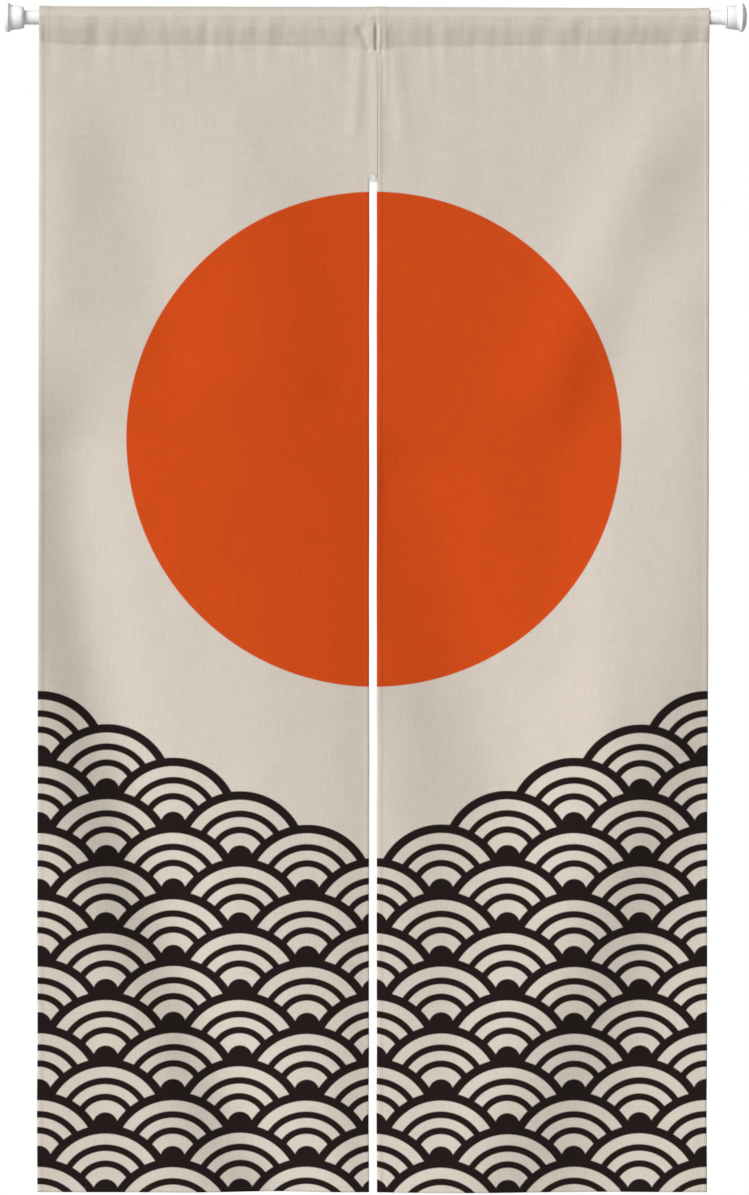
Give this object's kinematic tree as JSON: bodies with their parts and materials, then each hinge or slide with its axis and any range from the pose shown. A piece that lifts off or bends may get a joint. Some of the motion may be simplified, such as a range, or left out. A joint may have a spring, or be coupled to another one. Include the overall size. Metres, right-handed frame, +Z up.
{
  "type": "noren curtain on tension rod",
  "caption": "Split doorway curtain of linen-like cloth, hanging in soft uneven folds from a white tension rod that runs through the pocket along its top.",
  "frame": {"origin": "middle of the left end cap's pad, on the rod's middle line, where the rod presses on the left side of a doorway", "axes": "+Z up, +X along the rod to the right of someone facing the curtain, +Y away from them"},
  "size_m": [0.946, 0.0374, 1.5133],
  "materials": {
    "printed_cloth": "matt slubby plain weave with printed colour",
    "rod_paint": "satin white",
    "cap_plastic": "moulded white with a soft sheen"
  },
  "bodies": {
    "root": {"panel_left": "printed_cloth", "panel_right": "printed_cloth", "rod_tube": "rod_paint", "rod_collar": "cap_plastic", "end_cap_left": "cap_plastic", "end_cap_right": "cap_plastic"}
  },
  "joints": []
}
